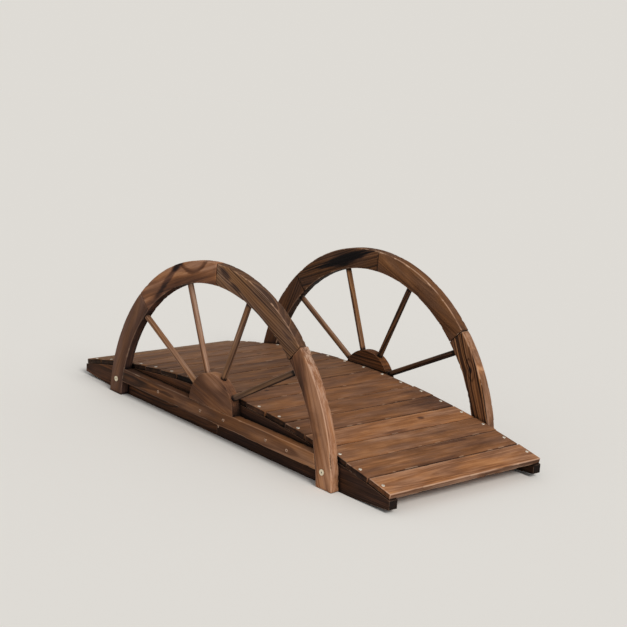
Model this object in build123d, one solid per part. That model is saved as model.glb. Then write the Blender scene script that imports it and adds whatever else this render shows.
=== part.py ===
from build123d import *
import math
import os

# Garden footbridge with an arched deck and half-wheel railings, in millimetres.
# X runs along the walk, Y across it, Z up. The origin is at the bottom centre, on the ground.

# Deck
bridge_length = 1500.0
deck_width = 590.0
arch_rise = 86.0
deck_end_height = 54.0
board_count = 17
board_thickness = 16.0
board_gap = 3.0
board_end_step = 2.0
board_step_phase = 2.4
board_arris = 1.5

# Stringers, one pair of halves under each side of the deck
stringer_thickness = 29.0
stringer_tip_rise = 12.0
stringer_tip_run = 150.0

# Half-wheel railings, bolted on outside the stringers
frame_thickness = 29.0
wheel_radius = 554.0
felloe_depth = 66.0
felloe_count = 4
felloe_arris = 1.5
wheel_centre_drop = 32.0
near_wheel_turn = 0.5
far_wheel_turn = -1.6
proud_felloe_step = 3.5
rail_bottom = 46.0
rail_height = 44.0
rail_arris = 1.0

# Hub block and spokes
hub_radius = 108.5
hub_centre_drop = 6.0
spoke_diameter = 18.0
spoke_angles = (28.0, 67.0)
socket_clearance = 0.2
hub_socket_depth = 24.0
rim_socket_depth = 22.0
spoke_end_gap = 0.4

# Flat-headed bolts through the wheel feet
bolt_diameter = 8.0
bolt_hole_clearance = 0.25
bolt_height = 48.0
bolt_head_diameter = 17.0
bolt_head_height = 2.6
bolt_key_width = 5.0
bolt_key_depth = 3.5
washer_diameter = 20.0
washer_thickness = 1.6
nut_across_flats = 13.0
nut_thickness = 6.5
bolt_tail = 3.0

# Seat between curved faces that meet
seat_gap = 0.2

# Sizes that follow from those above
half_length = bridge_length / 2
arch_radius = (half_length**2 + arch_rise**2) / (2 * arch_rise)
arch_centre_height = deck_end_height + arch_rise - arch_radius
board_pitch_angle = 2 * math.degrees(math.asin(half_length / arch_radius)) / board_count
board_width = math.radians(board_pitch_angle) * arch_radius - board_gap
inner_plane = deck_width / 2
frame_middle = inner_plane + frame_thickness / 2
wheel_inner_radius = wheel_radius - felloe_depth
spoke_meeting_height = rail_bottom + rail_height
rail_middle_height = rail_bottom + rail_height / 2


def wheel_reach(radius, height):
    """Distance from the wheel's middle to a circle about its centre, at a height above the ground."""
    return math.sqrt(radius**2 - (height + wheel_centre_drop) ** 2)


bolt_reach = (wheel_reach(wheel_radius, bolt_height) + wheel_reach(wheel_inner_radius, bolt_height)) / 2


def upright(profile, thickness):
    """Profile drawn in X and Z, given a thickness about the XZ plane."""
    return extrude(profile, amount=thickness / 2, both=True)


def cylinder_along(start, direction, radius, length):
    """Round bar from a point along a direction."""
    plane = Plane(origin=start, z_dir=direction)
    return plane * Cylinder(radius, length, align=(Align.CENTER, Align.CENTER, Align.MIN))


def arch_disc(radius):
    """Disc about the arch's centre, on the XZ plane."""
    return Plane.XZ * Pos(0, arch_centre_height) * Circle(radius)


# Deck boards
def deck_board(index):
    """Flat board laid across the stringers, square to the arch."""
    angle = (index - (board_count - 1) / 2) * board_pitch_angle
    board = Box(board_width, deck_width - 2 * board_end_step, board_thickness,
                align=(Align.CENTER, Align.CENTER, Align.MAX))
    long_edges = board.edges().filter_by(Axis.Y).group_by(Axis.Z)[-1]
    board = chamfer(long_edges, board_arris)
    shift = board_end_step * math.sin(index * board_step_phase)
    turn = Pos(0, 0, arch_centre_height) * Rot(0, angle, 0)
    return turn * Pos(0, shift, arch_radius) * board


# Stringers
def stringer_half(side, end):
    """Half of one side's stringer: arched to carry the boards, straight below, tapered to a tip."""
    top = arch_disc(arch_radius - board_thickness - seat_gap)
    tip = half_length
    blank = Plane.XZ * make_face(Polyline(
        (0, 0),
        (tip - stringer_tip_run, 0),
        (tip, stringer_tip_rise),
        (tip, deck_end_height + arch_rise),
        (0, deck_end_height + arch_rise),
        close=True,
    ))
    profile = blank & top
    body = upright(profile, stringer_thickness)
    hole = Pos(bolt_reach, 0, bolt_height) * Rot(90, 0, 0) * Cylinder(
        bolt_diameter / 2 + bolt_hole_clearance, 2 * stringer_thickness)
    body -= hole
    if end < 0:
        body = mirror(body, about=Plane.YZ)
    return Pos(0, side * (inner_plane - stringer_thickness / 2), 0) * body


# Half-wheel railings
def wheel_turn(side):
    """How far a wheel's joints and spokes lie turned from their even places, as it was fitted."""
    return near_wheel_turn if side < 0 else far_wheel_turn


def joint_angle(side, number):
    """Angle of the rim's joints in order, from the right foot to the left one."""
    turn = wheel_turn(side) if 0 < number < felloe_count else 0
    return number * 180 / felloe_count + turn


def felloe_step(side, index):
    """How far a felloe stands out from the wheel's circle: the near right foot's stands proud."""
    return proud_felloe_step if side < 0 and index == 0 else 0


def spoke_line(angle):
    """Direction of a spoke and its run from where the spokes would meet to the inside of the felloes."""
    direction = Vector(math.cos(math.radians(angle)), 0, math.sin(math.radians(angle)))
    rise = spoke_meeting_height + wheel_centre_drop
    along = direction.Z * rise
    run = -along + math.sqrt(along**2 - rise**2 + wheel_inner_radius**2)
    return direction, run


def all_spoke_angles(side):
    """Angles of a wheel's spokes, from its right foot to its left one."""
    right_half = list(spoke_angles)
    even = right_half + [180 - angle for angle in reversed(right_half)]
    return [angle + wheel_turn(side) for angle in even]


def hub_run(angle):
    """Distance from where the spokes would meet to the bottom of a spoke's socket in the hub."""
    drop = hub_centre_drop * math.sin(math.radians(angle))
    to_surface = math.sqrt(drop**2 - hub_centre_drop**2 + hub_radius**2) - drop
    return to_surface - hub_socket_depth


def socket_bar(angle, start, stop):
    """Bar that cuts a spoke's socket between two distances from where the spokes would meet."""
    direction = spoke_line(angle)[0]
    centre = Vector(0, 0, spoke_meeting_height)
    return cylinder_along(centre + direction * start, direction,
                          spoke_diameter / 2 + socket_clearance, stop - start)


def felloe(side, index):
    """One of the sawn arc pieces that make the rim, with its spoke socket."""
    out = felloe_step(side, index)
    ring = Circle(wheel_radius + out) - Circle(wheel_inner_radius + out)
    reach = 2 * wheel_radius
    first = math.radians(joint_angle(side, index))
    last = math.radians(joint_angle(side, index + 1))
    wedge = make_face(Polyline(
        (0, 0),
        (reach * math.cos(first), reach * math.sin(first)),
        (reach * math.cos((first + last) / 2), reach * math.sin((first + last) / 2)),
        (reach * math.cos(last), reach * math.sin(last)),
        close=True,
    ))
    above_ground = Pos(0, wheel_centre_drop) * Rectangle(
        2 * reach, reach, align=(Align.CENTER, Align.MIN))
    profile = ring & wedge & above_ground
    body = upright(Plane.XZ * profile, frame_thickness)
    body = chamfer(body.edges(), felloe_arris)
    body = Pos(0, 0, -wheel_centre_drop) * body
    for angle in all_spoke_angles(side):
        run = spoke_line(angle)[1]
        body -= socket_bar(angle, run - rim_socket_depth, run + rim_socket_depth)
    if index in (0, felloe_count - 1):
        away = bolt_reach if index == 0 else -bolt_reach
        body -= Pos(away, 0, bolt_height) * Rot(90, 0, 0) * Cylinder(
            bolt_diameter / 2 + bolt_hole_clearance, 2 * frame_thickness)
    return Pos(0, side * frame_middle, 0) * body


def side_rail(side):
    """Straight bar between the wheel's feet, its ends cut to the inside of the felloes."""
    bar = Pos(0, 0, rail_middle_height) * Box(2 * wheel_radius, frame_thickness, rail_height)
    long_edges = bar.edges().filter_by(Axis.X)
    bar = chamfer(long_edges, rail_arris)
    for end, index in ((1, 0), (-1, felloe_count - 1)):
        inside = Circle(wheel_inner_radius + felloe_step(side, index) - seat_gap)
        half = Pos(end * wheel_radius, 0) * Rectangle(2 * wheel_radius, 2 * wheel_radius)
        bar -= upright(Plane.XZ * Pos(0, -wheel_centre_drop) * (half - inside), 2 * frame_thickness)
    return Pos(0, side * frame_middle, 0) * bar


def hub_block(side):
    """Nearly half-round block on the rail, bored for the spokes."""
    round_part = Pos(0, -hub_centre_drop) * Circle(hub_radius)
    above = Rectangle(2 * hub_radius, 2 * hub_radius, align=(Align.CENTER, Align.MIN))
    body = upright(Plane.XZ * (round_part & above), frame_thickness)
    body = Pos(0, 0, spoke_meeting_height) * body
    for angle in all_spoke_angles(side):
        body -= socket_bar(angle, hub_run(angle), 2 * hub_radius)
    return Pos(0, side * frame_middle, 0) * body


def spoke(side, angle):
    """Round dowel seated in the hub's socket and the felloe's."""
    direction, run = spoke_line(angle)
    start = hub_run(angle) + spoke_end_gap
    stop = run + rim_socket_depth - spoke_end_gap
    centre = Vector(0, 0, spoke_meeting_height)
    bar = cylinder_along(centre + direction * start, direction, spoke_diameter / 2, stop - start)
    return Pos(0, side * frame_middle, 0) * bar


# Foot bolts
def hexagon(across_flats):
    """Six-sided profile of a nut or a key socket."""
    return RegularPolygon(across_flats / 2, 6, major_radius=False)


def foot_bolt(side, end):
    """Flat-headed bolt with its washer and nut, through a wheel foot and the stringer behind it."""
    outside = inner_plane + frame_thickness
    inside = inner_plane - stringer_thickness
    top = outside + bolt_head_height
    washer_base = inside - washer_thickness
    nut_base = washer_base - nut_thickness
    shank_start = nut_base - bolt_tail
    stand = (Align.CENTER, Align.CENTER, Align.MIN)
    shank = Pos(0, 0, shank_start) * Cylinder(bolt_diameter / 2, outside - shank_start, align=stand)
    head = Pos(0, 0, outside) * Cylinder(bolt_head_diameter / 2, bolt_head_height, align=stand)
    washer = Pos(0, 0, washer_base) * Cylinder(washer_diameter / 2, washer_thickness, align=stand)
    nut = Pos(0, 0, nut_base) * extrude(hexagon(nut_across_flats), amount=nut_thickness)
    bolt = shank + head + washer + nut
    bolt -= Pos(0, 0, top - bolt_key_depth) * extrude(hexagon(bolt_key_width), amount=bolt_key_depth)
    bolt = Rot(90, 0, 0) * bolt
    if side > 0:
        bolt = mirror(bolt, about=Plane.XZ)
    return Pos(end * bolt_reach, 0, bolt_height) * bolt


# Every piece by name
side_names = {"near": -1, "far": 1}
end_names = {"left": -1, "right": 1}

pieces = {}
for number in range(board_count):
    pieces[f"deck_board_{number + 1:02d}"] = deck_board(number)
for side_name, side in side_names.items():
    for end_name, end in end_names.items():
        pieces[f"{side_name}_stringer_{end_name}"] = stringer_half(side, end)
    pieces[f"{side_name}_rail"] = side_rail(side)
    pieces[f"{side_name}_hub"] = hub_block(side)
    for number in range(felloe_count):
        pieces[f"{side_name}_felloe_{number + 1}"] = felloe(side, number)
    for number, angle in enumerate(all_spoke_angles(side)):
        pieces[f"{side_name}_spoke_{number + 1}"] = spoke(side, angle)
    bolts = [foot_bolt(side, end) for end in end_names.values()]
    pieces[f"{side_name}_foot_bolts"] = Compound(children=bolts)

os.makedirs("parts", exist_ok=True)
for name, shape in pieces.items():
    export_step(shape, f"parts/{name}.step")
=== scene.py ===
import math
import random

import bmesh
import bpy
from mathutils import Matrix, Vector, noise as wood_noise


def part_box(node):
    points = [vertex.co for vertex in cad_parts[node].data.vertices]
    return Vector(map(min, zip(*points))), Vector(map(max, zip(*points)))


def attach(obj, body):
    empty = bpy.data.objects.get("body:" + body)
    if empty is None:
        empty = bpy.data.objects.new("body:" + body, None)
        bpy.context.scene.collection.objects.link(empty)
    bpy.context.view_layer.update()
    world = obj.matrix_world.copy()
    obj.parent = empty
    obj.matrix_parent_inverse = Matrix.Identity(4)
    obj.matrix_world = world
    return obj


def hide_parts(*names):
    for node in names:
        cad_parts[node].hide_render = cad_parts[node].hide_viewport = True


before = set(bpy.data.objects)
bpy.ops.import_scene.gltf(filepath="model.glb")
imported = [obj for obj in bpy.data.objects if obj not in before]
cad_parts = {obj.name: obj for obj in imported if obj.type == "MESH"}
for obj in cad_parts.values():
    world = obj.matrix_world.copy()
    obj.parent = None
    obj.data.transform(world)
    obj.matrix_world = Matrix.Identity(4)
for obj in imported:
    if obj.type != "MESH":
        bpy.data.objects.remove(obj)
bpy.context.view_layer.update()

# Finish of the garden footbridge: burnt and stained fir, zinc-plated screws and bolts. Metres.
body = "root"
sides = {"near": -1, "far": 1}

# Camera at the photograph's viewing angle
camera_place = Vector((3.0978, -2.6272, 1.2577))
camera_azimuth = math.radians(49.1268)
camera_elevation = math.radians(12.6384)
camera_roll = math.radians(3.8533)
camera_lens = 77.99
camera_sensor = 36.0
camera_reach = 60.0

# Counts and sizes of the construction
board_names = sorted(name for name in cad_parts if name.startswith("deck_board"))
felloe_count = 4
felloe_turn = math.pi / felloe_count
felloe_depth = 0.066
rail_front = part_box("near_rail")[0].y
stringer_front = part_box("near_stringer_left")[0].y

# How finely the worn skins are cut, and the turns between faces that tell a flat, an arris and a hole
arris_reach = 0.0035
arris_step = 0.0045
board_ease = 0.0009
merge_distance = 1e-6
flat_turn = math.radians(0.4)
hollow_turn = math.radians(3)
sharp_turn = math.radians(60)

# Wear of the arrises: dubbed over all along, and chipped where waves, so many a metre, rise high enough
dub_depth = 0.0005
chip_depth = 0.0022
broad_waves = 30.0
board_chip_waves = 38.0
felloe_chip_waves = 85.0
broad_share = 1.1
chip_start = 0.26
chip_spread = 0.30
board_wear = 0.36
rail_wear = 0.6
felloe_wear = {"near": (1.3, 0.8, 0.4, 0.4), "far": (0.45, 0.8, 0.5, 0.4)}

# Floor and light
floor_radius = 14.0
floor_colour = Vector((0.90, 0.89, 0.87))
surround_colour = Vector((1.0, 0.99, 0.97))
surround_strength = 0.42
key_direction = Vector((1.0, -0.15, 0.80))
key_angle = math.radians(24.0)
key_colour = Vector((1.0, 0.965, 0.91))
key_strength = 2.0
low_lamp_place = Vector((2.3, -1.5, 0.9))
low_lamp_aim = Vector((0.4, 0.0, 0.15))
low_lamp_size = 1.0
low_lamp_power = 13.0
low_lamp_colour = Vector((1.0, 0.95, 0.88))

# Screws: their heads, how far in from the boards' ends, and places along the walk and up on each side
deck_screw_diameter = 0.0100
side_screw_diameter = 0.0100
board_screw_inset = 0.0120
rail_screws = ((-0.275, 0.066), (-0.050, 0.066), (0.066, 0.069), (0.266, 0.066), (0.361, 0.064))
stringer_screws = ((0.005, 0.029),)

# Seeds of what is left to chance
deck_seed = 41
stringer_seed = 23
wheel_seeds = {"near": 17, "far": 18}
board_chip_seed = 5.0
rail_chip_seed = 31.0
felloe_chip_seed = 40.0
deck_screw_seed = 3
side_screw_seed = 8


# Small helpers for the node trees
def add_node(tree, kind, values=None, **settings):
    """Node of a kind with its settings, and values or links for its inputs."""
    made = tree.nodes.new(kind)
    for name, value in settings.items():
        setattr(made, name, value)
    for key, value in (values or {}).items():
        if isinstance(value, bpy.types.NodeSocket):
            tree.links.new(value, made.inputs[key])
        else:
            made.inputs[key].default_value = value
    return made


def calc(tree, operation, *values):
    """Result of an operation on numbers, each a constant or a link."""
    return add_node(tree, "ShaderNodeMath", dict(enumerate(values)), operation=operation).outputs[0]


def vector_calc(tree, operation, *values):
    """Result of an operation on vectors, each a constant or a link."""
    made = add_node(tree, "ShaderNodeVectorMath", dict(enumerate(values)), operation=operation)
    return made.outputs["Value" if operation == "DOT_PRODUCT" else "Vector"]


def ramp(tree, value, low, high, start=0.0, stop=1.0):
    """Smooth change from start to stop while the value goes from low to high."""
    values = dict(enumerate((value, low, high, start, stop)))
    return add_node(tree, "ShaderNodeMapRange", values, interpolation_type="SMOOTHSTEP").outputs[0]


def mix_colour(tree, share, first, second, mode="MIX"):
    """Second colour over the first by a share."""
    values = {0: share, 6: first, 7: second}
    return add_node(tree, "ShaderNodeMix", values, data_type="RGBA", blend_type=mode).outputs[2]


def noise(tree, place, stretch, detail=2.0, roughness=0.5):
    """Noise over places stretched by so many waves a metre along, across and through."""
    scaled = vector_calc(tree, "MULTIPLY", place, stretch)
    values = {"Vector": scaled, "Scale": 1.0, "Detail": detail, "Roughness": roughness}
    return add_node(tree, "ShaderNodeTexNoise", values).outputs


def add_socket(tree, name, kind, direction="INPUT"):
    """Gives a node group a socket of a kind."""
    tree.interface.new_socket(name=name, in_out=direction, socket_type=f"NodeSocket{kind}")


def new_material(name):
    """Material with an empty tree."""
    made = bpy.data.materials.new(name)
    made.use_nodes = True
    made.node_tree.nodes.clear()
    return made


def add_surface(tree, height, strength, depth, values):
    """Ends a material's tree: a skin with some values, raised by a height."""
    relief = add_node(tree, "ShaderNodeBump", {"Height": height, "Strength": strength, "Distance": depth})
    skin = add_node(tree, "ShaderNodeBsdfPrincipled", {"Normal": relief.outputs[0], **values})
    add_node(tree, "ShaderNodeOutputMaterial", {"Surface": skin.outputs[0]})


# Small helpers for objects
def new_object(name, data):
    """Object with some data, in the scene."""
    made = bpy.data.objects.new(name, data)
    bpy.context.scene.collection.objects.link(made)
    return made


def shape_object(name, shape):
    """Turns a finished shape into an object in the scene."""
    mesh = bpy.data.meshes.new(name)
    shape.to_mesh(mesh)
    shape.free()
    return new_object(name, mesh)


# Places that the construction gives
def middle(name):
    """Middle of a node's box."""
    low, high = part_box(name)
    return (low + high) / 2


def wheel_circle(side):
    """Centre and radius of a wheel's outer circle, from its height and its reach on the ground."""
    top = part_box(f"{side}_felloe_3")[1].z
    low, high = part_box(f"{side}_felloe_4")
    whole = low.x * low.x / top
    return Vector((0.0, (low.y + high.y) / 2, (top - whole) / 2)), (top + whole) / 2


def top_face(name):
    """Middle and direction of the largest upward face of a node."""
    nearly_upward = 0.95
    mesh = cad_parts[name].data
    tops = [face for face in mesh.polygons if face.normal.z > nearly_upward]
    whole = sum(face.area for face in tops)
    place = sum((face.center * face.area for face in tops), Vector()) / whole
    direction = sum((face.normal * face.area for face in tops), Vector()).normalized()
    return place, direction


# Distances from a wheel's centre between which its inner edge is burnt
edge_inside = wheel_circle("near")[1] - felloe_depth
edge_outside = edge_inside + 0.6 * felloe_depth

# Burnt fir: colours of the wood at a tone, from char to worn, and what is laid over them
char_colours = (
    (0.00, (0.0080, 0.0050, 0.0038)),
    (0.25, (0.0350, 0.0165, 0.0100)),
    (0.50, (0.1130, 0.0480, 0.0235)),
    (0.75, (0.2350, 0.1040, 0.0480)),
    (1.00, (0.4300, 0.2200, 0.1150)),
)
weathered_colour = (0.40, 0.260, 0.190, 1.0)
chipped_colour = (0.50, 0.33, 0.225, 1.0)
orange_blush = (1.06, 0.99, 0.88, 1.0)
plum_blush = (0.94, 0.98, 1.14, 1.0)
smoke_blush = (0.90, 0.97, 1.28, 1.0)

# Waves a metre of the wood's patterns, along the grain, across it and through it
wander_waves = (2.1, 8.0, 8.0)
ripple_waves = (9.0, 42.0, 42.0)
ring_waves = (60.0, 1.0, 1.0)
fibre_waves = (9.0, 620.0, 620.0)
streak_waves = (3.2, 150.0, 150.0)
stain_waves = (3.0, 17.0, 17.0)
mottle_waves = (9.0, 55.0, 55.0)
patch_waves = (9.0, 60.0, 60.0)
burn_waves = (5.0, 26.0, 26.0)
blush_waves = (7.0, 30.0, 30.0)
mottle_shift = (2.9, 8.3, 5.7)
burn_shift = (7.3, 1.9, 4.1)

# Reaches in the wood, its relief and its gloss
ripple_reach = 0.0035
# How far round the painted shade in crevices looks for nearby surfaces
crevice_shade_reach = 0.014
arris_radius = 0.0024
least_length = 0.0001
relief_depth = 0.0009
relief_strength = 0.55
wood_ior = 1.45
wood_specular = 0.07

# What a look says of a piece
fir_numbers = (
    "Shift", "Ring", "Taper", "Wander", "Tone", "Fade", "Outer", "Inner", "Contrast", "Streak", "Mottle",
    "Scorch", "Edge", "Wear", "Chips", "Thirst", "Bleach", "Paling", "Joint", "Crevice", "End",
)
fir_spots = ("Knot", "Flame", "Swirl")
spot_numbers = ("length", "lean", "depth")
fir_places = ("Place", "Grain", "Outward from") + fir_spots


class FirTree:
    """Node group for solid fir: growth rings round a pith, brushed, burnt and stained."""

    def __init__(self):
        self.tree = bpy.data.node_groups.new("Burnt fir", "ShaderNodeTree")
        for name in fir_places:
            add_socket(self.tree, name, "Vector")
        for name in fir_numbers + tuple(f"{spot} {number}" for spot in fir_spots for number in spot_numbers):
            add_socket(self.tree, name, "Float")
        add_socket(self.tree, "Tint", "Color")
        for name, kind in (("Color", "Color"), ("Roughness", "Float"), ("Height", "Float")):
            add_socket(self.tree, name, kind, "OUTPUT")
        self.given = add_node(self.tree, "NodeGroupInput").outputs
        self.straight = self.split(self.given["Place"])
        # Every noise is read at a shifted place, so that no two pieces are cut alike
        shift = self.given["Shift"]
        self.shifted = self.vector_calc("ADD", self.given["Place"], self.join(X=shift, Y=shift, Z=shift))
        self.burn_place = self.vector_calc("ADD", self.shifted, burn_shift)
        mottle_place = self.vector_calc("ADD", self.shifted, mottle_shift)
        self.fibre = self.noise(self.shifted, fibre_waves, 3.0, 0.6)[0]
        self.streak = self.noise(self.shifted, streak_waves, 3.0, 0.6)[0]
        self.mottle = self.noise(mottle_place, mottle_waves, 3.0, 0.6)[0]
        self.stain = self.noise(self.shifted, stain_waves)[0]
        self.patch = self.noise(self.shifted, patch_waves)[0]
        self.build()

    def calc(self, operation, *values):
        return calc(self.tree, operation, *values)

    def vector_calc(self, operation, *values):
        return vector_calc(self.tree, operation, *values)

    def chain(self, operation, values):
        """Result of an operation on the first two numbers, then on that and the next, and so on."""
        result = values[0]
        for value in values[1:]:
            result = self.calc(operation, result, value)
        return result

    def total(self, *values):
        return self.chain("ADD", values)

    def product(self, *values):
        return self.chain("MULTIPLY", values)

    def largest(self, *values):
        return self.chain("MAXIMUM", values)

    def rest(self, value):
        return self.calc("SUBTRACT", 1.0, value)

    def hypotenuse(self, first, second):
        """Distance over two legs at right angles."""
        return self.calc("SQRT", self.total(self.product(first, first), self.product(second, second)))

    def ramp(self, *values):
        return ramp(self.tree, *values)

    def mix(self, *values):
        return mix_colour(self.tree, *values)

    def noise(self, place, stretch, detail=2.0, roughness=0.5):
        return noise(self.tree, place, stretch, detail, roughness)

    def split(self, vector):
        return add_node(self.tree, "ShaderNodeSeparateXYZ", {"Vector": vector}).outputs

    def join(self, **values):
        return add_node(self.tree, "ShaderNodeCombineXYZ", values).outputs[0]

    def attribute(self, name):
        return add_node(self.tree, "ShaderNodeAttribute", attribute_name=name).outputs["Fac"]

    def swing(self, stretch, reach):
        """Noise about nought, sideways to the grain."""
        swung = self.vector_calc("SUBTRACT", self.noise(self.shifted, stretch)["Color"], (0.5, 0.5, 0.5))
        return self.vector_calc("MULTIPLY", swung, self.join(Y=reach, Z=reach))

    def spot(self, name):
        """Distance from a spot as a share of its radius, drawn out along the grain, and the radius."""
        there = self.split(self.given[name])
        across = self.calc("SUBTRACT", self.straight[1], there[1])
        along = self.calc("SUBTRACT", self.straight[0], there[0])
        along = self.calc("SUBTRACT", along, self.product(across, self.given[f"{name} lean"]))
        along = self.calc("DIVIDE", along, self.given[f"{name} length"])
        radius = self.largest(there[2], least_length)
        return self.calc("DIVIDE", self.hypotenuse(along, across), radius), radius

    def knot(self):
        """How far a knot pushes the rings aside, and how dark its core is."""
        share, radius = self.spot("Knot")
        push = self.calc("EXPONENT", self.product(share, share, -0.16))
        push = self.product(push, self.product(radius, 1.5))
        return push, self.product(self.ramp(share, 0.45, 1.25, 1.0, 0.0), self.given["Knot depth"])

    def rings(self, push):
        """Late wood of the growth rings, each ring of its own width and darkness, and pale early wood."""
        # Slow wander of the trunk, and a fine ripple
        bent = self.vector_calc("ADD", self.given["Place"], self.swing(wander_waves, self.given["Wander"]))
        bent = self.split(self.vector_calc("ADD", bent, self.swing(ripple_waves, ripple_reach)))
        reach = self.total(self.hypotenuse(bent[1], bent[2]),
                           self.product(self.straight[0], self.given["Taper"]), push)
        widths = self.noise(self.join(X=reach, Y=self.given["Shift"]), ring_waves)[0]
        phase = self.total(self.calc("DIVIDE", reach, self.given["Ring"]), self.product(widths, 2.4))
        turn = self.calc("FRACT", phase)
        year = self.total(self.calc("FLOOR", phase), self.given["Shift"])
        dice = add_node(self.tree, "ShaderNodeTexWhiteNoise", {"W": year}, noise_dimensions="1D").outputs[0]
        late = self.product(
            self.ramp(turn, 0.20, 0.80), self.ramp(turn, 0.88, 1.0, 1.0, 0.0),
            self.ramp(dice, 0.0, 0.9, 0.30, 1.0), self.ramp(self.streak, 0.25, 0.70, 0.40, 1.0))
        early = self.product(self.ramp(turn, 0.0, 0.22, 1.0, 0.0), self.ramp(dice, 0.55, 0.9))
        return late, early

    def burns(self):
        """Scorches left to chance, a flame's lick, the line of a swirl, and a dowel's ends darkened as
        painted shade in its sockets.
        """
        given = self.given
        mottled = self.calc("SUBTRACT", self.mottle, 0.5)
        scorch_start = self.calc("SUBTRACT", 0.90, self.product(given["Scorch"], 0.5))
        scorch = self.noise(self.burn_place, burn_waves, 3.0, 0.6)[0]
        scorch = self.ramp(scorch, scorch_start, self.total(scorch_start, 0.20))
        flame = self.total(self.spot("Flame")[0], self.product(mottled, 1.3))
        flame = self.product(self.ramp(flame, 0.50, 1.20, 1.0, 0.0), given["Flame depth"])
        swirl = self.total(self.spot("Swirl")[0], self.product(mottled, 0.35))
        swirl = self.product(self.ramp(swirl, 0.72, 0.96), self.ramp(swirl, 1.0, 1.14, 1.0, 0.0),
                             given["Swirl depth"])
        end_length = self.largest(given["End"], least_length)
        end = self.calc("DIVIDE", self.calc("ABSOLUTE", self.straight[0]), end_length)
        end = self.product(self.ramp(end, 0.74, 0.84), self.ramp(given["End"], 0.001, 0.002))
        return scorch, flame, swirl, end

    def faces(self):
        """Shares of thirsty end grain, of the wheel's inner edge, and of facing outwards and inwards."""
        facing = add_node(self.tree, "ShaderNodeTexCoord").outputs
        along = self.vector_calc("DOT_PRODUCT", facing["Normal"], self.given["Grain"])
        end_grain = self.product(self.ramp(self.calc("ABSOLUTE", along), 0.66, 0.95), self.given["Thirst"])
        out = self.vector_calc("SUBTRACT", facing["Object"], self.given["Outward from"])
        parts = self.split(out)
        inner_edge = self.ramp(self.hypotenuse(parts[0], parts[2]), edge_outside, edge_inside)
        outward = self.vector_calc("DOT_PRODUCT", facing["Normal"], self.vector_calc("NORMALIZE", out))
        return end_grain, inner_edge, self.ramp(outward, 0.45, 0.95), self.ramp(outward, -0.35, -0.90)

    def crevices(self):
        """How deep in a crevice a place lies, darkened as painted shade, and how far it is in reach of
        rubbing.
        """
        open_share = add_node(self.tree, "ShaderNodeAmbientOcclusion", {"Distance": crevice_shade_reach}, samples=6)
        open_share = open_share.outputs["AO"]
        return self.ramp(open_share, 0.30, 0.92, 1.0, 0.0), self.ramp(open_share, 0.52, 0.86)

    def wear(self, in_reach):
        """Joint arrises darkened or lightened (on the deck painted shade along the gaps), worn arrises and
        chips, by the skins' marks and, on other pieces, by the shape.
        """
        true_facing = add_node(self.tree, "ShaderNodeNewGeometry").outputs["Normal"]
        rounded = add_node(self.tree, "ShaderNodeBevel", {"Radius": arris_radius}, samples=6).outputs[0]
        arris = self.ramp(self.vector_calc("DOT_PRODUCT", true_facing, rounded), 0.995, 0.90)
        arris = self.largest(arris, self.ramp(self.attribute("arris"), 0.45, 0.95))
        joint = self.ramp(self.attribute("joint"), 0.0, 0.6)
        rubbed = self.product(in_reach, self.given["Wear"])
        worn = self.product(arris, self.ramp(self.patch, 0.30, 0.52), rubbed, self.rest(joint))
        chip = self.product(self.ramp(self.attribute("chip"), 0.20, 0.80), self.given["Chips"], rubbed)
        return joint, worn, chip

    def build(self):
        """Brings the marks together into the colour, the roughness and the height."""
        given = self.given
        push, core = self.knot()
        late, early = self.rings(push)
        scorch, flame, swirl, end = self.burns()
        end_grain, inner_edge, turned_out, turned_in = self.faces()
        crevice, in_reach = self.crevices()
        joint, worn, chip = self.wear(in_reach)
        dark = self.product(late, given["Contrast"], self.rest(self.product(turned_out, 0.75)))

        # How light the wood is, from char to worn
        # Fade grades the tone along the grain: painted light and shade falling unevenly along a piece
        tone = self.total(given["Tone"], self.product(self.straight[0], given["Fade"]))
        for amount, value in ((0.40, self.stain), (given["Streak"], self.streak),
                              (given["Mottle"], self.mottle), (0.40, self.fibre)):
            tone = self.total(tone, self.product(self.calc("SUBTRACT", value, 0.5), amount))
        # Inner darkens inward faces and undersides as painted shade, and Outer lightens or darkens outward
        # faces as painted light and shade
        for amount, value in ((given["Outer"], turned_out), (given["Inner"], turned_in)):
            tone = self.total(tone, self.product(value, amount))
        # Crevice darkens places deep in crevices and End darkens a dowel's ends, both painted shade; Joint
        # darkens the deck's joint arrises as painted shade
        for amount, value in ((1.0, dark), (0.50, scorch), (1.0, flame), (1.0, core), (1.0, swirl),
                              (1.0, end_grain), (0.60, end), (-0.22, worn), (given["Crevice"], crevice),
                              (given["Joint"], joint), (given["Edge"], inner_edge)):
            tone = self.calc("SUBTRACT", tone, self.product(value, amount))
        tone = self.total(tone, self.product(early, given["Contrast"], 0.35))

        smoke = self.largest(scorch, self.product(inner_edge, given["Edge"]), flame, core)
        colour = self.blushed(self.shades(tone), smoke)
        colour = self.weathered(colour, turned_out, worn, chip)
        gloss = self.calc("SUBTRACT", self.fibre, self.product(dark, 0.8))
        roughness = self.ramp(gloss, -0.2, 0.8, 0.46, 0.72)
        height = self.total(self.product(late, 0.8), self.product(self.fibre, 0.55))
        height = self.calc("SUBTRACT", height, self.product(scorch, 0.35))
        height = self.calc("SUBTRACT", height, chip)
        add_node(self.tree, "NodeGroupOutput", {"Color": colour, "Roughness": roughness, "Height": height})

    def shades(self, tone):
        """Colour of the wood at a tone."""
        made = add_node(self.tree, "ShaderNodeValToRGB", {"Fac": tone})
        elements = made.color_ramp.elements
        elements.remove(elements[1])
        elements[0].position = char_colours[0][0]
        elements[0].color = (*char_colours[0][1], 1.0)
        for position, colour in char_colours[1:]:
            elements.new(position).color = (*colour, 1.0)
        return made.outputs[0]

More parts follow.
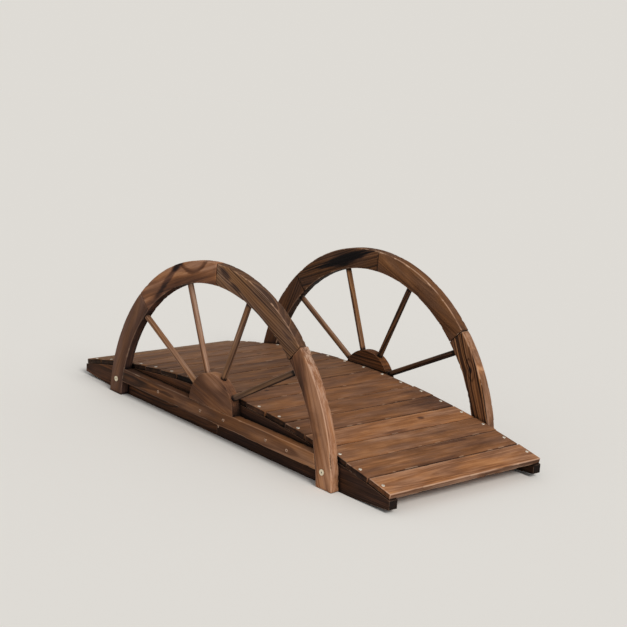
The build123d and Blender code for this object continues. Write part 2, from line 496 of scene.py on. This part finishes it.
    def blushed(self, colour, smoke):
        """Colour with a blush from orange to plum, smoky where it is burnt, and the piece's own tint."""
        blush = self.ramp(self.noise(self.burn_place, blush_waves)[0], 0.34, 0.66)
        blush = self.mix(blush, orange_blush, plum_blush)
        blush = self.mix(self.ramp(smoke, 0.0, 0.5), blush, smoke_blush)
        colour = self.mix(1.0, colour, blush, "MULTIPLY")
        return self.mix(1.0, colour, self.given["Tint"], "MULTIPLY")

    def weathered(self, colour, turned_out, worn, chip):
        """Colour bleached where it faces outwards, partly weathering and partly painted light, and along worn
        arrises, and bare in the chips.
        """
        bare = self.total(self.product(self.patch, 0.6), self.product(self.fibre, 0.9), self.streak)
        bleach = self.total(self.given["Bleach"], self.product(self.straight[0], self.given["Paling"]))
        bleach = self.product(self.largest(bleach, 0.0), turned_out, self.ramp(bare, 1.10, 1.42, 0.15, 1.4))
        bleach = self.largest(bleach, self.product(worn, 0.45))
        return self.mix(chip, self.mix(bleach, colour, weathered_colour), chipped_colour)


fir_tree = FirTree().tree


def grain_frame(along, through):
    """Turn of a frame whose X runs along the grain and whose Z runs through the piece's thickness."""
    x = Vector(along).normalized()
    z = Vector(through)
    z = (z - x * z.dot(x)).normalized()
    return Matrix((x, z.cross(x), z)).transposed()


def fir(name, centre, along, through, look):
    """Fir material for one piece, cut from its own place in the trunk."""
    made = new_material(f"Fir of {name}")
    tree = made.node_tree
    turn = grain_frame(along, through)
    pith = Vector(centre) + turn @ Vector((0.0, look["pith"][0], look["pith"][1]))
    where = add_node(tree, "ShaderNodeTexCoord").outputs["Object"]
    placed = add_node(tree, "ShaderNodeMapping", {
        "Vector": where, "Location": pith, "Rotation": turn.to_euler()}, vector_type="TEXTURE")
    values = {key: look[key.lower()] for key in fir_numbers}
    values["Place"] = placed.outputs[0]
    values["Grain"] = Vector(along).normalized()
    values["Outward from"] = look["outward from"]
    values["Tint"] = (*look["tint"], 1.0)
    for spot in fir_spots:
        along_grain, across_grain, radius, *numbers = look[spot.lower()]
        values[spot] = (along_grain, across_grain - look["pith"][0], radius)
        for number, value in zip(spot_numbers, numbers):
            values[f"{spot} {number}"] = value
    wood = add_node(tree, "ShaderNodeGroup", values, node_tree=fir_tree).outputs
    add_surface(tree, wood["Height"], relief_strength, relief_depth, {
        "Base Color": wood["Color"], "Roughness": wood["Roughness"],
        "IOR": wood_ior, "Specular IOR Level": wood_specular})
    return made


# Looks. A spot is a place along the grain and across it, a radius, how much longer than wide it is, how far
# it leans, and how dark it is. A piece without a spot has it far off.
far_away = 50.0
no_spot = (9.0, 0.0, 0.001, 1.0, 0.0, 0.0)
plain_values = dict(
    fade=0.0, outer=0.0, inner=-0.26, contrast=0.30, streak=0.40, mottle=0.25, scorch=0.30, edge=0.0,
    wear=0.6, chips=0.75, thirst=0.35, bleach=0.0, paling=0.0, joint=0.10, crevice=0.42, end=0.0,
    knot=no_spot, flame=no_spot, swirl=no_spot, tint=(1.0, 1.0, 1.0))


def plain_look(dice, tone, **changes):
    """Look of a piece sawn flat from the trunk, with changes by name."""
    return {
        **plain_values,
        "pith": (dice.uniform(-0.03, 0.03), -dice.uniform(0.035, 0.085)),
        "shift": dice.uniform(1.0, 60.0),
        "ring": dice.uniform(0.0042, 0.0065),
        "taper": dice.choice((-1, 1)) * dice.uniform(0.010, 0.026),
        "wander": dice.uniform(0.018, 0.034),
        "tone": tone,
        "outward from": (0.0, 0.0, -far_away),
        **changes,
    }


# The deck as the photograph shows it, board by board from the left end
deck_tone = 0.735
# Some boards have lower tones where the wheels shade the deck: painted shade
board_tones = (
    0.035, -0.02, -0.10, 0.02, -0.08, -0.045, -0.16, -0.095, -0.09, -0.035, 0.01, -0.045, -0.03, 0.11, 0.06,
    -0.04, 0.125,
)
board_contrast = (0.12, 0.22)
board_ranges = {
    "ring": (0.0026, 0.0040), "wander": (0.008, 0.016), "thirst": (0.38, 0.56), "wear": (0.50, 1.30),
}
board_look = dict(streak=0.34, mottle=0.60, chips=0.32, crevice=0.30, joint=0.09)
# The end boards' outward end faces are darkened and greyed: painted shade
end_board_look = dict(outer=-0.40, bleach=0.28, wear=1.7)
board_knots = {
    5: (0.12, -0.015, 0.006, 1.8, 0.0, 0.30),
    10: (-0.17, 0.02, 0.005, 1.8, 0.0, 0.25),
    14: (0.122, 0.013, 0.009, 1.5, 0.0, 0.36),
}
board_flames = {
    12: (0.26, 0.0, 0.060, 1.3, 0.0, 0.12),
    13: (0.24, 0.0, 0.070, 1.4, 0.0, 0.15),
    14: (-0.02, -0.036, 0.010, 5.0, 0.0, 0.26),
    16: (0.08, 0.036, 0.009, 7.0, 0.0, 0.13),
}
# The cool tint of the left boards paints the sky's light, and the warm tint of the right ones the key's light
deck_tint = (0.95, 1.0, 1.03)
warm_deck_tint = (1.0, 0.99, 0.94)
cool_deck_tint = (0.90, 1.0, 1.07)
cool_boards = range(2, 10)
board_tints = {1: (0.89, 1.04, 1.06), 14: warm_deck_tint, 17: warm_deck_tint}
board_tints.update(dict.fromkeys(cool_boards, cool_deck_tint))

# The wheels, their rails and hubs, piece by piece
# Tones, tints and bleach carry painted light and shade: the right felloes' outer faces are bleached lighter
# where they face the key, near_felloe_4 is darkened on the wheel's shaded left, and Fade grades the near hub
# and rail
frame_looks = {
    "near_felloe_1": dict(
        ring=0.0085, contrast=0.22, tone=0.87, tint=(1.02, 1.01, 0.97), bleach=0.40, paling=1.6, wear=1.3,
        edge=0.22, mottle=0.50, outer=-0.13, joint=-0.16, crevice=0.24, fade=-0.45,
        flame=(0.165, -0.050, 0.042, 2.4, 0.0, 0.20)),
    "near_felloe_2": dict(
        ring=0.0070, contrast=0.60, tone=0.735, tint=(0.87, 1.03, 1.14), pith=(0.110, -0.030), taper=0.030,
        wander=0.034, scorch=0.62, outer=-0.25, edge=0.10, joint=-0.02, fade=0.28, crevice=0.24,
        knot=(0.107, -0.022, 0.007, 4.0, 0.0, 0.30), flame=(0.165, -0.016, 0.011, 2.8, 0.0, 0.34)),
    "near_felloe_3": dict(
        ring=0.0300, contrast=0.36, tone=0.865, tint=(0.98, 0.98, 1.01), pith=(0.075, -0.030), taper=0.020,
        wander=0.040, scorch=0.35, edge=0.24, mottle=0.40, streak=0.25, inner=-0.32, joint=-0.02, wear=0.25,
        knot=(-0.008, 0.027, 0.014, 2.2, -0.8, 0.46), flame=(0.048, 0.0, 0.044, 0.60, -2.0, 0.34),
        swirl=(-0.100, 0.034, 0.044, 1.55, 0.0, 0.34)),
    "near_felloe_4": dict(
        ring=0.0070, contrast=0.10, tone=0.61, tint=(0.85, 1.0, 1.32), wear=0.25, streak=0.25, edge=0.14,
        inner=-0.12, joint=-0.10),
    "far_felloe_1": dict(
        ring=0.0105, contrast=0.85, tone=0.76, tint=(0.99, 1.03, 0.98), pith=(0.095, 0.0), wander=0.07,
        bleach=0.26, outer=-0.03,
        knot=(0.079, -0.002, 0.007, 1.6, 0.0, 0.40), swirl=(0.079, -0.002, 0.015, 2.2, 0.0, 0.22)),
    "far_felloe_2": dict(
        ring=0.0050, contrast=0.26, tone=0.69, tint=(0.93, 1.01, 1.01), wear=1.4, outer=-0.17, edge=0.12),
    "far_felloe_3": dict(
        ring=0.0100, contrast=0.44, tone=0.51, tint=(0.92, 1.03, 1.08), pith=(0.110, 0.0), wander=0.030,
        taper=0.012, flame=(-0.065, -0.006, 0.017, 7.5, 0.0, 0.60)),
    "far_felloe_4": dict(
        ring=0.0070, contrast=0.30, tone=0.485, tint=(0.98, 1.03, 1.0), scorch=0.50),
    "near_hub": dict(
        ring=0.0070, contrast=0.12, tone=0.56, tint=(0.95, 0.99, 1.03), tilt=-15.0, thirst=0.45, inner=0.0,
        mottle=0.45, outer=0.08, fade=0.90, flame=(-0.015, -0.036, 0.032, 2.0, 0.0, -0.30)),
    "far_hub": dict(
        ring=0.0075, contrast=0.75, tone=0.51, tint=(1.04, 1.0, 0.86), pith=(0.12, 0.0), inner=0.0,
        outer=0.06),
    "near_rail": dict(
        ring=0.0060, contrast=0.30, tone=0.66, tint=(0.95, 1.0, 1.0), fade=0.33, wear=0.45, outer=-0.10,
        flame=(-0.440, 0.0, 0.045, 2.4, 0.0, 0.12)),
    "far_rail": dict(
        ring=0.0060, contrast=0.34, tone=0.60),
}
# Stringers are set darker than the deck: painted shade under the boards, the far right one nearly black
stringer_tones = {
    "near_stringer_left": 0.41, "near_stringer_right": 0.26,
    "far_stringer_left": 0.30, "far_stringer_right": 0.14,
}
stringer_look = dict(contrast=0.26, thirst=0.25)

# The spokes, from each wheel's right foot to its left one
spoke_tones = {"near": (0.65, 0.73, 0.77, 0.85), "far": (0.38, 0.52, 0.78, 0.68)}
spoke_tints = {
    "near": ((0.81, 1.08, 1.38), (0.89, 1.08, 1.26), (0.95, 1.07, 1.24), (0.92, 1.04, 1.14)),
    "far": ((0.91, 1.02, 1.04),) * 4,
}
# Bleach lightens each spoke's upper side, partly weathering and partly painted light
spoke_look = dict(contrast=0.42, ring=0.009, taper=0.012, bleach=0.40, streak=0.80, pith=(0.03, 0.02))
# The spokes listed here are lighter on one side and darker on the other: painted light and shade
lit_spoke_look = dict(bleach=0.70, inner=-0.09)
spoke_lit_sides = {"near_spoke_2": -1, "near_spoke_3": 1}
# The other spokes darken towards their ends: painted shade where they sit in their sockets
spokes_without_socket_shade = ("near_spoke_3", "near_spoke_4")


# Worn skins
def whole_faces(name):
    """Construction mesh of a node with its triangles joined into whole faces."""
    shape = bmesh.new()
    shape.from_mesh(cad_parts[name].data)
    bmesh.ops.remove_doubles(shape, verts=shape.verts, dist=merge_distance)
    bmesh.ops.dissolve_limit(shape, angle_limit=flat_turn, verts=shape.verts, edges=shape.edges)
    shape.normal_update()
    return shape


def is_arris(face):
    """Whether a face is a narrow flat along an arris, and not the wall of a hole."""
    width = 2 * face.calc_area() / face.calc_perimeter()
    hollow = any(edge.calc_face_angle_signed() < -hollow_turn for edge in face.edges)
    return width < arris_reach and not hollow


def split_along(shape, edges, gap):
    """Cuts edges into equal steps of about a gap."""
    longest = max(edge.calc_length() for edge in edges)
    bmesh.ops.subdivide_edges(shape, edges=edges, cuts=round(longest / gap) - 1, use_only_quads=True)


def frame_faces(shape, faces):
    """Sets an even border as wide as an arris inside flat faces."""
    bmesh.ops.inset_region(shape, faces=faces, thickness=arris_reach, use_boundary=True, use_even_offset=True)


def worn_piece(name, shape, arrises, wear, chip_waves, seed, joints=()):
    """Piece that stands for a node, with its arrises dubbed over and chipped inwards."""
    shape.normal_update()
    arris_layer = shape.verts.layers.float.new("arris")
    chip_layer = shape.verts.layers.float.new("chip")
    joint_layer = shape.verts.layers.float.new("joint")
    moved = []
    for point in {point for face in arrises for point in face.verts}:
        broad = wood_noise.noise(point.co * broad_waves + Vector((seed, 0, 0)))
        fine = wood_noise.noise(point.co * chip_waves + Vector((0, seed, 0)))
        chip = min(max((fine + broad_share * broad - chip_start) / chip_spread, 0.0), 1.0)
        point[arris_layer] = 1.0
        point[chip_layer] = chip
        moved.append((point, point.co - point.normal * wear * (dub_depth * (1 + broad) + chip_depth * chip)))
    for point in {point for face in joints for point in face.verts}:
        point[joint_layer] = 1.0
    for point, place in moved:
        point.co = place
    for face in shape.faces:
        face.smooth = True
        face.material_index = 0
    made = shape_object(f"{name}_worn", shape)
    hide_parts(name)
    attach(made, body)
    return made


def worn_board(name, wear, seed, jointed=False):
    """Board or rail: its sharp edges eased, each face framed, and cut into short steps along its length.

    A jointed board has a next one at its right edge, whose arris is darkened there as painted shade.
    """
    whole_length_share = 0.8
    rightward_share = 0.3
    shape = whole_faces(name)
    sharp = [edge for edge in shape.edges if edge.calc_face_angle() > sharp_turn]
    bmesh.ops.bevel(shape, geom=sharp, offset=board_ease, segments=1, profile=0.5, affect="EDGES",
                    clamp_overlap=True)
    # Until the piece is made, a face's material number tells whether it is an arris
    for face in shape.faces:
        face.material_index = int(is_arris(face))
    frame_faces(shape, [face for face in shape.faces if face.material_index == 0])
    lengths = {edge: edge.calc_length() for edge in shape.edges}
    whole_length = whole_length_share * max(lengths.values())
    split_along(shape, [edge for edge, length in lengths.items() if length > whole_length], arris_step)
    shape.normal_update()
    arrises = [face for face in shape.faces if face.material_index == 1]
    joints = [face for face in arrises if jointed and face.normal.x > rightward_share]
    return worn_piece(name, shape, arrises, wear, board_chip_waves, seed, joints)


def along_rim_share(face, centre):
    """How far a face looks along the rim, towards the next felloe."""
    out = face.calc_center_median() - centre
    along = Vector((-out.z, 0.0, out.x)).normalized()
    return abs(face.normal.dot(along))


def rim_and_joint_edges(shape, centre):
    """Long edges of a felloe that run along its rims, and those that run along its joints."""
    least_run = 1.8 * arris_step
    least_joint = 0.7 * felloe_depth
    slight_share = 0.3
    main_share = 0.9
    along_rim, along_joint = [], []
    for edge in shape.edges:
        run = edge.verts[1].co - edge.verts[0].co
        out = (edge.verts[0].co - centre).normalized()
        if run.length > least_run and abs(run.normalized().y) < slight_share:
            outward_share = abs(run.normalized().dot(out))
            if outward_share < slight_share:
                along_rim.append(edge)
            elif outward_share > main_share and run.length > least_joint:
                along_joint.append(edge)
    return along_rim, along_joint


def worn_felloe(name, centre, wear, seed):
    """Felloe: its two flat sides framed, and its rims and joints cut into short steps."""
    rim_border = 1.2 * arris_reach
    flat_share = 0.99
    joint_share = 0.4
    shape = whole_faces(name)
    for face in shape.faces:
        face.material_index = int(is_arris(face))
    frame_faces(shape, [face for face in shape.faces if abs(face.normal.y) > flat_share])
    low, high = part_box(name)
    for y in (low.y + rim_border, high.y - rim_border):
        everything = shape.verts[:] + shape.edges[:] + shape.faces[:]
        bmesh.ops.bisect_plane(shape, geom=everything, dist=merge_distance, plane_co=(0, y, 0),
                               plane_no=(0, 1, 0))
    along_rim, along_joint = rim_and_joint_edges(shape, centre)
    split_along(shape, along_rim, arris_step)
    split_along(shape, [edge for edge in along_joint if edge.is_valid], arris_step)
    shape.normal_update()
    arrises = [face for face in shape.faces if face.material_index == 1]
    joints = [face for face in arrises if along_rim_share(face, centre) > joint_share]
    return worn_piece(name, shape, arrises, wear, felloe_chip_waves, seed, joints)


def worn_skins():
    """Worn skins for what shows its arrises: boards, rails and felloes."""
    made = {}
    for number, name in enumerate(board_names):
        jointed = name != board_names[-1]
        made[name] = worn_board(name, board_wear, board_chip_seed + number, jointed)
    for side in sides:
        centre = wheel_circle(side)[0]
        made[f"{side}_rail"] = worn_board(f"{side}_rail", rail_wear, rail_chip_seed)
        for number, wear in enumerate(felloe_wear[side]):
            name = f"{side}_felloe_{number + 1}"
            made[name] = worn_felloe(name, centre, wear, felloe_chip_seed + number)
    return made


# Paint
def paint(name, material):
    """Gives a node of the construction, or the worn skin that stands for it, its finish."""
    piece = skins.get(name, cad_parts[name])
    piece.data.materials.clear()
    piece.data.materials.append(material)


def paint_deck():
    """Boards, each with its own grain across the walk."""
    dice = random.Random(deck_seed)
    for number, name in enumerate(board_names, 1):
        place, direction = top_face(name)
        look = plain_look(dice, deck_tone + board_tones[number - 1], contrast=dice.uniform(*board_contrast))
        look.update({key: dice.uniform(*reach) for key, reach in board_ranges.items()})
        look.update(board_look)
        look["knot"] = board_knots.get(number, no_spot)
        look["flame"] = board_flames.get(number, no_spot)
        look["tint"] = board_tints.get(number, deck_tint)
        if number in (1, len(board_names)):
            look["outward from"] = (-math.copysign(far_away, place.x), 0.0, 0.0)
            look.update(end_board_look)
        paint(name, fir(name, place, (0, 1, 0), direction, look))


def paint_stringers():
    """Stringers, sawn from long boards on edge."""
    dice = random.Random(stringer_seed)
    for name, tone in stringer_tones.items():
        look = plain_look(dice, tone, **stringer_look)
        paint(name, fir(name, middle(name), (1, 0, 0), (0, 1, 0), look))


def frame_places(side):
    """Middle of a wheel's rail, hub and felloes, with the angle of each one's grain to the walk."""
    centre, radius = wheel_circle(side)
    places = {f"{side}_rail": (middle(f"{side}_rail"), 0.0), f"{side}_hub": (middle(f"{side}_hub"), 0.0)}
    for number in range(felloe_count):
        angle = felloe_turn * (number + 0.5)
        out = Vector((math.cos(angle), 0, math.sin(angle)))
        place = centre + out * (radius - felloe_depth / 2)
        places[f"{side}_felloe_{number + 1}"] = (place, 90 + math.degrees(angle))
    return places


def paint_frame(side, dice):
    """Felloes, hub and rail of one wheel."""
    for name, (place, degrees) in frame_places(side).items():
        changes = dict(frame_looks[name])
        angle = math.radians(degrees + changes.pop("tilt", 0.0))
        look = plain_look(dice, **changes)
        if "felloe" in name:
            look["outward from"] = wheel_circle(side)[0]
        along = (math.cos(angle), 0, math.sin(angle))
        paint(name, fir(name, place, along, (0, 1, 0), look))


def paint_spokes(side, dice):
    """Turned dowels of one wheel, the first half of them leaning to the right and the rest to the left."""
    for number, tone in enumerate(spoke_tones[side]):
        name = f"{side}_spoke_{number + 1}"
        low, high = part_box(name)
        lean = 1 if number < len(spoke_tones[side]) // 2 else -1
        along = Vector((lean * (high.x - low.x), 0, high.z - low.z))
        look = plain_look(dice, tone, tint=spoke_tints[side][number], **spoke_look)
        if name in spoke_lit_sides:
            look["outward from"] = (-far_away * spoke_lit_sides[name], 0.0, 0.0)
            look.update(lit_spoke_look)
        # Darker ends: painted shade where the dowel sits in the hub and the felloe
        if name not in spokes_without_socket_shade:
            look["end"] = along.length / 2
        paint(name, fir(name, middle(name), along, (0, 1, 0), look))


# Zinc plating: waves a metre of its blotches and scratches, and the painted shade in its recesses
blotch_waves = (420.0, 420.0, 420.0)
scratch_waves = (300.0, 2600.0, 900.0)
scratch_depth = 0.0001
scratch_strength = 0.2
recess_shade_reach = 0.004
recess_shade_colour = (0.012, 0.008, 0.006, 1.0)


def plating(name, dull, bright, metallic, smooth, rough):
    """Plated steel with faint blotches and fine scratches, and painted shade in its recesses."""
    made = new_material(name)
    tree = made.node_tree
    where = add_node(tree, "ShaderNodeTexCoord").outputs["Object"]
    placed = add_node(tree, "ShaderNodeMapping", {"Vector": where}).outputs[0]
    blotch = noise(tree, placed, blotch_waves, 3.0)[0]
    scratch = noise(tree, placed, scratch_waves, 2.0)[0]
    colour = mix_colour(tree, ramp(tree, blotch, 0.3, 0.7), (*dull, 1.0), (*bright, 1.0))
    # Recesses darkened to near black where they are occluded: painted shade
    open_share = add_node(tree, "ShaderNodeAmbientOcclusion", {"Distance": recess_shade_reach}, samples=6)
    recess_shade = ramp(tree, open_share.outputs["AO"], 0.30, 0.80, 0.92, 0.0)
    colour = mix_colour(tree, recess_shade, colour, recess_shade_colour)
    roughness = ramp(tree, calc(tree, "ADD", blotch, scratch), 0.7, 1.3, smooth, rough)
    add_surface(tree, scratch, scratch_strength, scratch_depth, {
        "Base Color": colour, "Roughness": roughness, "Metallic": metallic})
    return made


# Screw heads
def screw_head():
    """Raised countersunk head of radius one, with a rounded rim and a cross recess."""
    steps = 36
    rings = (0.14, 0.26, 0.38, 0.50, 0.62, 0.74, 0.84, 0.90, 0.95, 0.98, 1.0)
    rim_height = 0.14
    rim_start = 0.80
    rim_drop = 0.20
    dome_height = 0.15
    arm_width = 0.17
    arm_reach = 0.60
    recess_depth = 0.50
    recess_rise = 0.55
    skirt_radius = 0.7
    skirt_depth = 0.35
    shape = bmesh.new()

    def level(x, y):
        reach = math.hypot(x, y)
        rim = max(reach - rim_start, 0.0) / (1 - rim_start)
        dome = dome_height * (1 - reach * reach) + rim_height - rim_drop * rim * rim
        wide, narrow = max(abs(x), abs(y)), min(abs(x), abs(y))
        in_recess = wide < arm_reach and narrow < arm_width
        return dome - (recess_depth * (1 - recess_rise * wide / arm_reach) if in_recess else 0.0)

    peak = shape.verts.new((0, 0, level(0, 0)))
    loops = []
    for radius in rings:
        loop = []
        for step in range(steps):
            angle = math.tau * step / steps
            x, y = radius * math.cos(angle), radius * math.sin(angle)
            loop.append(shape.verts.new((x, y, level(x, y))))
        loops.append(loop)
    skirt = [shape.verts.new((v.co.x * skirt_radius, v.co.y * skirt_radius, -skirt_depth)) for v in loops[-1]]
    loops.append(skirt)
    for step in range(steps):
        following = (step + 1) % steps
        shape.faces.new((peak, loops[0][step], loops[0][following]))
        for inner, outer in zip(loops, loops[1:]):
            shape.faces.new((inner[step], outer[step], outer[following], inner[following]))
    shape.faces.new(list(reversed(skirt)))
    bmesh.ops.recalc_face_normals(shape, faces=shape.faces)
    return shape_object("Screw head", shape)


def screw_tree():
    """Geometry nodes that set a screw head on every point, turned at random about its own direction."""
    tree = bpy.data.node_groups.new("Screws on points", "GeometryNodeTree")
    for name, kind in (("Points", "Geometry"), ("Head", "Object"), ("Head diameter", "Float"),
                       ("Seed", "Int"), ("Plating", "Material")):
        add_socket(tree, name, kind)
    add_socket(tree, "Screws", "Geometry", "OUTPUT")
    given = add_node(tree, "NodeGroupInput").outputs
    head = add_node(tree, "GeometryNodeObjectInfo", {"Object": given["Head"]}).outputs["Geometry"]
    facing = add_node(tree, "GeometryNodeInputNamedAttribute", {"Name": "facing"}, data_type="FLOAT_VECTOR")
    upright = add_node(tree, "FunctionNodeAlignEulerToVector", {"Vector": facing.outputs[0]}, axis="Z")
    spin = add_node(tree, "FunctionNodeRandomValue", {3: math.tau, "Seed": given["Seed"]}, data_type="FLOAT")
    twist = add_node(tree, "ShaderNodeCombineXYZ", {"Z": spin.outputs[1]}).outputs[0]
    turned = add_node(tree, "FunctionNodeRotateEuler", {
        "Rotation": upright.outputs[0], "Rotate By": twist}, rotation_type="EULER", space="LOCAL")
    size = calc(tree, "MULTIPLY", given["Head diameter"], 0.5)
    placed = add_node(tree, "GeometryNodeInstanceOnPoints", {
        "Points": given["Points"], "Instance": head, "Rotation": turned.outputs[0], "Scale": size})
    solid = add_node(tree, "GeometryNodeRealizeInstances", {"Geometry": placed.outputs[0]}).outputs[0]
    finished = add_node(tree, "GeometryNodeSetMaterial", {"Geometry": solid, "Material": given["Plating"]})
    add_node(tree, "NodeGroupOutput", {"Screws": finished.outputs[0]})
    return tree


def run_tree(name, points, tree, inputs):
    """Runs a geometry tree over points and leaves its result as a plain mesh piece."""
    holder = new_object(f"{name}_points", points)
    modifier = holder.modifiers.new("Tree", "NODES")
    modifier.node_group = tree
    sockets = {item.name: item.identifier for item in tree.interface.items_tree if item.in_out == "INPUT"}
    for key, value in inputs.items():
        modifier[sockets[key]] = value
    finished = holder.evaluated_get(bpy.context.evaluated_depsgraph_get())
    mesh = bpy.data.meshes.new_from_object(finished)
    mesh.name = name
    bpy.data.objects.remove(holder)
    return new_object(name, mesh)


def screw_points(places):
    """Mesh of loose points, each with the direction that its screw faces."""
    mesh = bpy.data.meshes.new("Screw places")
    mesh.from_pydata([place for place, direction in places], [], [])
    facing = mesh.attributes.new("facing", "FLOAT_VECTOR", "POINT")
    facing.data.foreach_set("vector", [number for place, direction in places for number in direction])
    return mesh


def board_screw_places():
    """Two screws a board, one near each end, over the stringers."""
    places = []
    for name in board_names:
        place, direction = top_face(name)
        low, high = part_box(name)
        for y in (low.y + board_screw_inset, high.y - board_screw_inset):
            places.append((Vector((place.x, y, place.z)), direction))
    return places


def side_screw_places():
    """Screws through the rails into the stringers, and one low on each stringer."""
    places = []
    for sign in sides.values():
        outward = Vector((0, sign, 0))
        for x, z in rail_screws:
            places.append((Vector((x, -sign * rail_front, z)), outward))
        for x, z in stringer_screws:
            places.append((Vector((x, -sign * stringer_front, z)), outward))
    return places


def add_screws():
    """Every visible screw head: bright on the deck, browned on the sides."""
    head = screw_head()
    tree = screw_tree()
    bright = plating("Bright zinc", (0.62, 0.57, 0.48), (0.82, 0.77, 0.68), 0.40, 0.26, 0.46)
    browned = plating("Browned zinc", (0.150, 0.080, 0.048), (0.62, 0.42, 0.30), 0.8, 0.20, 0.36)
    rows = (("deck_screws", board_screw_places(), deck_screw_seed, deck_screw_diameter, bright),
            ("side_screws", side_screw_places(), side_screw_seed, side_screw_diameter, browned))
    for name, places, seed, diameter, material in rows:
        made = run_tree(name, screw_points(places), tree, {
            "Head": head, "Head diameter": diameter, "Seed": seed, "Plating": material})
        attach(made, body)
    bpy.data.objects.remove(head)


# Floor, light and camera
def add_floor():
    """Plain pale floor."""
    shape = bmesh.new()
    bmesh.ops.create_circle(shape, cap_ends=True, segments=96, radius=floor_radius)
    floor = shape_object("Floor", shape)
    made = bpy.data.materials.new("Pale floor")
    made.use_nodes = True
    skin = made.node_tree.nodes["Principled BSDF"]
    skin.inputs["Base Color"].default_value = (*floor_colour, 1.0)
    skin.inputs["Roughness"].default_value = 1.0
    skin.inputs["Specular IOR Level"].default_value = 0.0
    floor.data.materials.append(made)
    return floor


def add_lamp(name, kind, turn, place=(0, 0, 0), **settings):
    """Lamp of a kind with its settings, turned and put in place."""
    data = bpy.data.lights.new(name, kind)
    for key, value in settings.items():
        setattr(data, key, value)
    lamp = new_object(name, data)
    lamp.location = place
    lamp.rotation_euler = turn.to_euler()
    return lamp


def spare(lamp, thing):
    """Keeps a lamp's light off a thing."""
    spared = bpy.data.collections.new(f"Not lit by {lamp.name}")
    spared.objects.link(thing)
    spared.collection_objects[0].light_linking.link_state = "EXCLUDE"
    lamp.light_linking.receiver_collection = spared


def add_light(floor):
    """Soft key from the right, a low lamp by the right end, and an even pale surround."""
    turn = key_direction.to_track_quat("Z", "Y")
    add_lamp("Key", "SUN", turn, angle=key_angle, energy=key_strength, color=key_colour)
    turn = (low_lamp_aim - low_lamp_place).to_track_quat("-Z", "Y")
    low_lamp = add_lamp("Low lamp", "AREA", turn, low_lamp_place, shape="SQUARE", size=low_lamp_size,
                        energy=low_lamp_power, color=low_lamp_colour)
    spare(low_lamp, floor)
    world = bpy.data.worlds.new("Studio")
    bpy.context.scene.world = world
    world.use_nodes = True
    tree = world.node_tree
    tree.nodes.clear()
    path = add_node(tree, "ShaderNodeLightPath").outputs
    surround = add_node(tree, "ShaderNodeBackground", {
        "Color": (*surround_colour, 1.0), "Strength": surround_strength})
    # The backdrop is as light as the lit floor, so that no horizon shows
    key_share = key_strength * key_direction.normalized().z / math.pi
    lit_floor = floor_colour * (surround_colour * surround_strength + key_colour * key_share)
    backdrop = add_node(tree, "ShaderNodeBackground", {"Color": (*lit_floor, 1.0), "Strength": 1.0})
    seen = calc(tree, "MAXIMUM", path["Is Camera Ray"], path["Is Glossy Ray"])
    seen = calc(tree, "MAXIMUM", seen, path["Is Transmission Ray"])
    mixed = add_node(tree, "ShaderNodeMixShader", {0: seen, 1: surround.outputs[0], 2: backdrop.outputs[0]})
    add_node(tree, "ShaderNodeOutputWorld", {"Surface": mixed.outputs[0]})


def add_camera():
    """Camera that sees the bridge as the photograph does."""
    level_back = Vector((math.sin(camera_azimuth), -math.cos(camera_azimuth), 0.0))
    back = level_back * math.cos(camera_elevation) + Vector((0.0, 0.0, math.sin(camera_elevation)))
    level = Vector((math.cos(camera_azimuth), math.sin(camera_azimuth), 0.0))
    upward = back.cross(level)
    right = level * math.cos(camera_roll) + upward * math.sin(camera_roll)
    up = upward * math.cos(camera_roll) - level * math.sin(camera_roll)
    data = bpy.data.cameras.new("Camera")
    data.lens = camera_lens
    data.sensor_width = camera_sensor
    data.clip_end = camera_reach
    camera = new_object("Camera", data)
    camera.matrix_world = Matrix.Translation(camera_place) @ Matrix((right, up, back)).transposed().to_4x4()
    bpy.context.scene.camera = camera


skins = worn_skins()
paint_deck()
paint_stringers()
for side in sides:
    wheel_dice = random.Random(wheel_seeds[side])
    paint_frame(side, wheel_dice)
    paint_spokes(side, wheel_dice)
bolt_plate = plating("Yellowed zinc", (0.66, 0.56, 0.38), (0.88, 0.80, 0.62), 0.45, 0.26, 0.44)
for side in sides:
    paint(f"{side}_foot_bolts", bolt_plate)
add_screws()
add_light(add_floor())
add_camera()
bpy.context.scene.view_settings.view_transform = "Standard"
